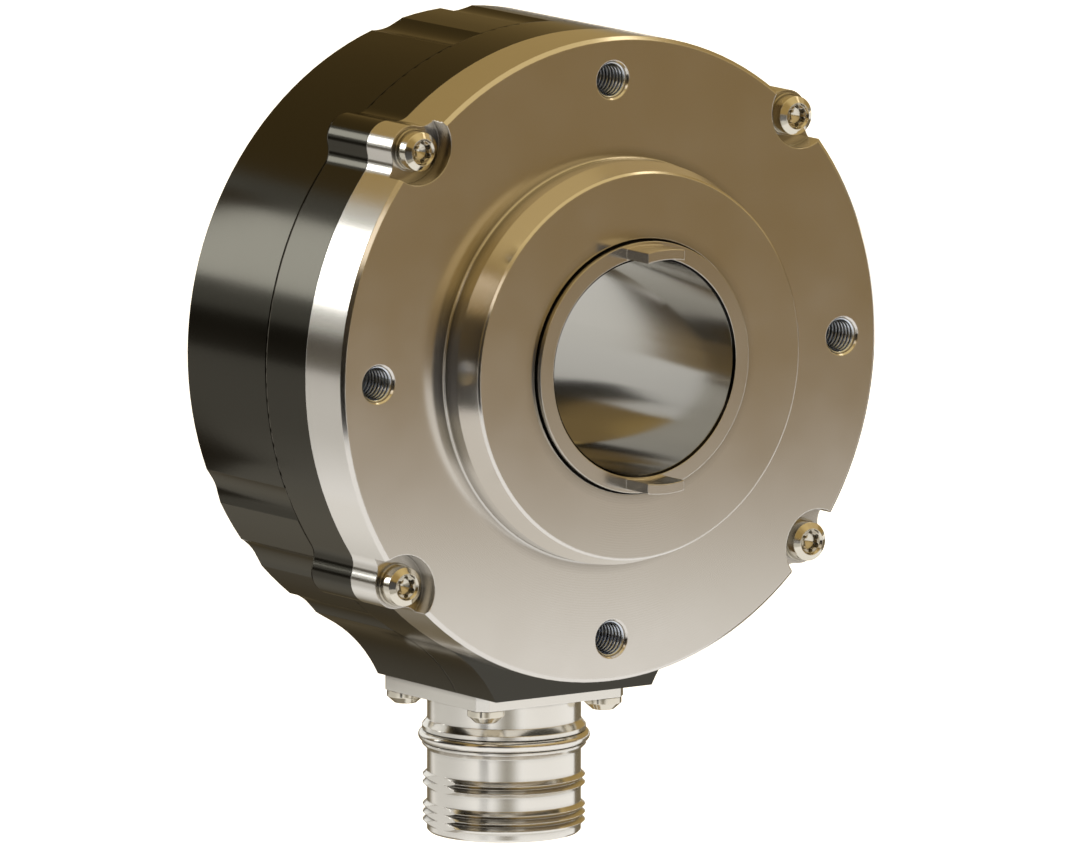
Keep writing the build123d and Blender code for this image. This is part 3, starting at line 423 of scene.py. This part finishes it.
flange_plating = turned(
    "nickel_plated_turned_aluminium", NICKEL, 0.16, SHAFT_LINE, "Y", 0.35, 0.0003)
connector_plating = turned(
    "nickel_plated_turned_brass", NICKEL_ON_BRASS, 0.17, CONNECTOR_LINE, "Z", 0.20, 0.0003, 0.02)
tree, shader = tree_and_shader(connector_plating)
# Painted shade: the plating gets darker in the connector's grooves.
groove_shade = painted_shade_in_hollows(tree, 0.8, "#453F35", NICKEL_ON_BRASS)
tree.links.new(groove_shade, shader.inputs["Base Color"])
honed_steel = turned("honed_stainless_steel", HONED, 0.20, SHAFT_LINE, "Y", 0.25, 0.0004, 0.04)
turned_aluminium = turned(
    "plain_turned_aluminium", "#DADBDD", 0.32, SHAFT_LINE, "Y", 0.30, 0.0006)
turned_brass = turned("plain_turned_brass", "#D9B568", 0.25, SHAFT_LINE, "Y", 0.25, 0.0004)
print("turned metals, with rings every 0.20 to 0.35 mm")

# %% [markdown]
# The drum is aluminium with a dark bronze anodised coat. The coat is thin and clear at the
# top, so it reflects the room softly, and the metal under it stays dark. The two halves of
# the drum meet in a line as thin as a hair, drawn here as a narrow groove at its place.

# %% Dark drum
BRONZE_COAT = "#46443E"
SEAM_Y = 0.0187
SEAM_HALF = 0.00014
COAT_GRAIN_SHARE = 0.04
COAT_DEPTH = 0.00008

drum_coat, tree, shader = finish(
    "bronze_black_anodised_aluminium", BRONZE_COAT, 1.0, 0.14, {"Specular Tint": tone("#E2DED6")})
place = own_place(tree)
depth = put(tree, "ShaderNodeSeparateXYZ", {0: place}).outputs["Y"]
seam_distance = maths(tree, "ABSOLUTE", maths(tree, "SUBTRACT", depth, SEAM_Y))
groove = put(tree, "ShaderNodeMapRange", {
    0: seam_distance, 1: SEAM_HALF * 0.6, 2: SEAM_HALF * 1.6, 3: 0.0, 4: 1.0}).outputs[0]
grain = noise(tree, place, 2500.0, 2.0)
height = maths(tree, "MULTIPLY_ADD", grain, COAT_GRAIN_SHARE, groove)
raised(tree, shader, height, 0.5, COAT_DEPTH)
tree.links.new(blend(tree, groove, "#12100C", BRONZE_COAT), shader.inputs["Base Color"])
uneven(tree, shader, noise(tree, place, 60.0, 2.0), 0.12, 0.17)
print("drum's seam at y", SEAM_Y)

# %% [markdown]
# Screws, washers and circlips are small and smooth. Steel that was formed cold and tumbled
# has no rings, only a faint mottle in its shine. The same recipe serves the darker spring
# steel, the pressed brass and the gold plated contacts, with other colours.

# %% Formed metals
MOTTLE_DEPTH_MM = 0.0008
SHADE_REACH_MM = 0.9


def formed(name, colour, roughness, grain_mm):
    """Smooth formed or plated metal with a faint mottle of a real size, and painted shade in
    recesses.
    """
    made, tree, shader = finish(name, colour, 1.0, roughness)
    mottle = noise(tree, own_place(tree), 1000 / grain_mm, 2.0)
    uneven(tree, shader, mottle, roughness * 0.8, roughness * 1.25)
    raised(tree, shader, mottle, 0.15, MOTTLE_DEPTH_MM / 1000)
    # Painted shade: the metal gets darker in recesses, such as screw sockets and threads.
    recess_shade = painted_shade_in_hollows(tree, SHADE_REACH_MM, "#24221F", colour)
    tree.links.new(recess_shade, shader.inputs["Base Color"])
    return made


screw_steel = formed("tumbled_stainless_steel", "#DDD6C6", 0.11, 0.8)
spring_steel = formed("phosphated_spring_steel", "#4A4844", 0.42, 0.4)
pressed_brass = formed("pressed_brass", "#CDA552", 0.30, 0.6)
contact_gold = formed("gold_plated_contacts", "#E8C46A", 0.18, 0.5)
print("formed metals, dark in recesses within", SHADE_REACH_MM, "mm")

# %% [markdown]
# Rubber, plastics and the circuit board are seen only when the part is open or from below.
# Moulded parts have a fine even grain. The seals are nitrile rubber, matt and nearly black.

# %% Moulded plastics and rubber


def moulded(name, colour, roughness, grain_mm, depth_mm, sockets=None):
    """A moulded surface: one colour with a fine grain and slightly uneven shine."""
    made, tree, shader = finish(name, colour, 0.0, roughness, sockets)
    grain = noise(tree, own_place(tree), 1000 / grain_mm, 3.0)
    raised(tree, shader, grain, 0.5, depth_mm / 1000, rounded=False)
    uneven(tree, shader, grain, roughness * 0.85, min(1.0, roughness * 1.15))
    return made


nitrile = moulded("moulded_nitrile_rubber", "#1B1B1B", 0.62, 0.30, 0.010)
insert_plastic = moulded("moulded_black_polyamide", "#1D1C1B", 0.45, 0.25, 0.006)
wire_jacket = moulded("extruded_wire_jacket", "#C9C6BD", 0.40, 0.60, 0.004)
tinted_epoxy = moulded("tinted_moulded_epoxy", "#B5281E", 0.20, 0.80, 0.002,
                       {"Transmission Weight": 0.3})
print("moulded materials", len([nitrile, insert_plastic, wire_jacket, tinted_epoxy]))

# %% [markdown]
# The sensor board is glass laminate under green solder mask. Its copper tracks show through
# the mask as lighter lines, drawn as the joints of a brick pattern.

# %% Circuit board
BOARD_GREEN = "#0C4A2A"

board_coat, tree, shader = finish("green_solder_mask_on_glass_laminate", BOARD_GREEN, 0.0, 0.28)
laid_flat = put(tree, "ShaderNodeMapping",
                {"Vector": own_place(tree), "Rotation": (pi / 2, 0, 0)}).outputs[0]
tracks = put(tree, "ShaderNodeTexBrick", {
    "Vector": laid_flat, "Scale": 1.0, "Mortar Size": 0.00018, "Mortar Smooth": 0.2,
    "Brick Width": 0.0051, "Row Height": 0.0019, "Color1": tone(BOARD_GREEN),
    "Color2": tone("#0A4326"), "Mortar": tone("#1C6B40")})
tree.links.new(tracks.outputs["Color"], shader.inputs["Base Color"])
raised(tree, shader, tracks.outputs["Fac"], 0.5, 0.00003, rounded=False)
print("board in", board_coat.name)

# %% [markdown]
# The code disc is glass with a ring of fine dark bars, which the optical head counts. A
# real disc has thousands of them. Here 180 are drawn, so that single bars can be made out.

# %% Optical glass
GLASS = "#E4EEEA"
TRACK_RADIUS = 0.0284
TRACK_HALF = 0.0014
BARS = 180

optic_glass = finish(
    "polished_optical_glass", GLASS, 0.0, 0.03, {"Transmission Weight": 1.0, "IOR": 1.52})[0]
bar_glass, tree, shader = finish(
    "code_disc_glass_with_chromium_bars", GLASS, 0.0, 0.05,
    {"Transmission Weight": 0.9, "IOR": 1.52})
parts = put(tree, "ShaderNodeSeparateXYZ", {0: own_place(tree)}).outputs
angle = maths(tree, "ARCTAN2", parts["X"], parts["Z"])
stripe = maths(tree, "SINE", maths(tree, "MULTIPLY", angle, float(BARS)))
reach = axis_distance(tree, parts["X"], parts["Z"])
in_track = maths(tree, "COMPARE", reach, TRACK_RADIUS, TRACK_HALF)
bar = maths(tree, "MULTIPLY", maths(tree, "GREATER_THAN", stripe, 0.0), in_track)
tree.links.new(blend(tree, bar, GLASS, "#16181A"), shader.inputs["Base Color"])
print("code disc with", BARS, "bars")

# %% [markdown]
# The shaft's bore is honed, which leaves it smoother than the turned steel around it. Its
# colour is a little greyer inside, which is painted shade. Its edge is a fine chamfer, drawn
# as a dark line of painted shade between the radius where the bore ends and the radius where
# the front face begins.

# %% Honed bore
BORE_LIMIT = 0.01502
CHAMFER_LIMIT = 0.01533
BORE_ROUGHNESS = 0.115

tree, shader = tree_and_shader(honed_steel)
parts = put(tree, "ShaderNodeSeparateXYZ", {0: own_place(tree)}).outputs
reach = axis_distance(tree, parts["X"], parts["Z"])
inside = maths(tree, "LESS_THAN", reach, BORE_LIMIT)
beyond = maths(tree, "GREATER_THAN", reach, CHAMFER_LIMIT)
# Painted shade: the bore's inside is greyer, and its edge chamfer is a dark line.
painted_bore_shade = blend(tree, beyond, blend(tree, inside, "#1C1A17", "#B8B5AE"), HONED)
tree.links.new(painted_bore_shade, shader.inputs["Base Color"])
turned_rough = shader.inputs["Roughness"].links[0].from_socket
smoother = put(tree, "ShaderNodeMix", {0: inside, 2: turned_rough, 3: BORE_ROUGHNESS})
tree.links.new(smoother.outputs[0], shader.inputs["Roughness"])
print("bore honed to a roughness of", BORE_ROUGHNESS)

# %% [markdown]
# The four tapped holes of the flange have a cooler tint than the plating around them. In
# the flange's other hollows, where walls stand close, the plating gets a little painted shade.

# %% Tapped holes
HOLE_CIRCLE = 0.039
TAPPED_REACH = 0.0024

tree, shader = tree_and_shader(flange_plating)
parts = put(tree, "ShaderNodeSeparateXYZ", {0: own_place(tree)}).outputs
sides = [maths(tree, "ABSOLUTE", parts[k]) for k in "XZ"]
outward = maths(tree, "SUBTRACT", maths(tree, "MAXIMUM", *sides), HOLE_CIRCLE)
sideways = maths(tree, "MINIMUM", *sides)
in_hole = maths(tree, "LESS_THAN", axis_distance(tree, outward, sideways), TAPPED_REACH)
# Painted shade: the plating gets a little darker where walls stand close.
shaded_plating = painted_shade_in_hollows(tree, 2.0, "#77736A", NICKEL)
tree.links.new(blend(tree, in_hole, shaded_plating, "#D6DCE6"), shader.inputs["Base Color"])
print("holes tinted", HOLE_CIRCLE, "from the shaft's axis")

# %% [markdown]
# Each CAD node keeps its shape and gets its finish. The flange's own four tapped holes are
# smooth in the CAD model, so their thread ridges are made after this.

# %% Finish of each node
finishes = {
    flange_plating: ["front_flange"],
    drum_coat: ["housing_front", "housing_rear"],
    connector_plating: ["connector_shell", "connector_sealing_ring"],
    screw_steel: ["flange_screws", "flange_screw_washers", "connector_screws",
                  "rear_housing_screws", "board_screws", "disc_screws", "optical_head_screws"],
    honed_steel: ["hollow_shaft", "front_bearing_outer_ring", "rear_bearing_outer_ring",
                  "front_bearing_inner_ring", "rear_bearing_inner_ring", "front_bearing_balls",
                  "rear_bearing_balls", "bearing_shields"],
    spring_steel: ["housing_circlip", "shaft_circlips"],
    turned_aluminium: ["outer_bearing_spacer", "inner_bearing_spacer", "disc_hub",
                       "disc_clamp_ring"],
    pressed_brass: ["front_bearing_cage", "rear_bearing_cage"],
    turned_brass: ["board_standoffs"],
    nitrile: ["front_shaft_seal", "rear_shaft_seal", "flange_oring", "connector_tube_oring"],
    board_coat: ["sensor_board"],
    insert_plastic: ["board_chips", "board_header", "optical_head", "connector_insert",
                     "photo_sensor"],
    bar_glass: ["code_disc"],
    optic_glass: ["collimator_lens", "scanning_reticle"],
    tinted_epoxy: ["light_source"],
    contact_gold: ["contact_pins"],
    wire_jacket: ["connector_wires"],
}
for material, names in finishes.items():
    for name in names:
        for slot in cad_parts[name].material_slots:
            slot.material = material
dressed = sorted(name for names in finishes.values() for name in names)
print("dressed", len(dressed), "left over", sorted(set(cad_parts) - set(dressed)))

# %% [markdown]
# An M5 thread has ridges 0.8 mm apart that stand in from the hole's wall by about 0.4 mm.
# One ridge is a ring with a pointed section. Geometry Nodes repeat it down each hole, and
# the four holes around the flange, from named sizes. Rings stand in for the helix, because
# at this size the slope of the thread can't be seen.

# %% Thread ridges
HOLE_RADIUS = 0.0025
RIDGE_PITCH = 0.0008
RIDGE_HEIGHT = 0.0004
RIDGE_COUNT = 8
HOLE_COUNT = 4
RING_POINTS = 48
SECTION_POINTS = 4

ridge_tree = bpy.data.node_groups.new("thread_ridges", "GeometryNodeTree")
face = ridge_tree.interface
sizes = {}
for name, kind, value in (
    ("Hole circle", "NodeSocketFloat", HOLE_CIRCLE),
    ("Ridge radius", "NodeSocketFloat", HOLE_RADIUS),
    ("Ridge height", "NodeSocketFloat", RIDGE_HEIGHT),
    ("Pitch", "NodeSocketFloat", RIDGE_PITCH),
    ("Ridges", "NodeSocketInt", RIDGE_COUNT),
    ("Holes", "NodeSocketInt", HOLE_COUNT),
    ("Finish", "NodeSocketMaterial", flange_plating),
):
    made = face.new_socket(name=name, in_out="INPUT", socket_type=kind)
    sizes[made.identifier] = value
face.new_socket(name="Geometry", in_out="OUTPUT", socket_type="NodeSocketGeometry")


def grow(kind, sockets):
    """Adds one node to the ridge tree, and gives its first output."""
    return put(ridge_tree, kind, sockets).outputs[0]


given = put(ridge_tree, "NodeGroupInput").outputs
ring = grow("GeometryNodeCurvePrimitiveCircle",
            {"Resolution": RING_POINTS, "Radius": given["Ridge radius"]})
section = grow("GeometryNodeCurvePrimitiveCircle",
               {"Resolution": SECTION_POINTS, "Radius": given["Ridge height"]})
ridge = grow("GeometryNodeCurveToMesh", {"Curve": ring, "Profile Curve": section})
step_down = grow("ShaderNodeCombineXYZ", {"Z": given["Pitch"]})
stack = grow("GeometryNodeMeshLine", {"Count": given["Ridges"], "Offset": step_down})
hole = grow("GeometryNodeInstanceOnPoints", {"Points": stack, "Instance": ridge})
laid = grow("GeometryNodeTransform", {"Geometry": hole, "Rotation": (-pi / 2, 0, 0)})
circle = grow("GeometryNodeMeshCircle",
              {"Vertices": given["Holes"], "Radius": given["Hole circle"]})
upright = grow("GeometryNodeTransform", {"Geometry": circle, "Rotation": (pi / 2, 0, 0)})
holes = grow("GeometryNodeInstanceOnPoints", {"Points": upright, "Instance": laid})
real = grow("GeometryNodeRealizeInstances", {0: holes})
coated = grow("GeometryNodeSetMaterial", {"Geometry": real, "Material": given["Finish"]})
put(ridge_tree, "NodeGroupOutput", {0: coated})

worker = bpy.data.objects.new("ridge_worker", bpy.data.meshes.new("ridge_seed"))
bpy.context.scene.collection.objects.link(worker)
modifier = worker.modifiers.new("thread_ridges", "NODES")
modifier.node_group = ridge_tree
for identifier, value in sizes.items():
    modifier[identifier] = value
bpy.context.view_layer.update()
grown = worker.evaluated_get(bpy.context.evaluated_depsgraph_get())
thread_mesh = bpy.data.meshes.new_from_object(grown)
thread_mesh.name = "flange_thread_ridges"
bpy.data.objects.remove(worker)
thread_mesh.transform(Matrix.Translation((0, RIDGE_PITCH, 0)))
threads = bpy.data.objects.new("flange_thread_ridges", thread_mesh)
bpy.context.scene.collection.objects.link(threads)
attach(threads, "housing")
depths = [vertex.co.y for vertex in thread_mesh.vertices]
print("thread ridges", len(thread_mesh.polygons), "faces, from y", round(min(depths), 4),
      "to", round(max(depths), 4))

# %% [markdown]
# The standard view transform shows colours as they are written.

# %% Close
bpy.context.scene.view_settings.view_transform = "Standard"
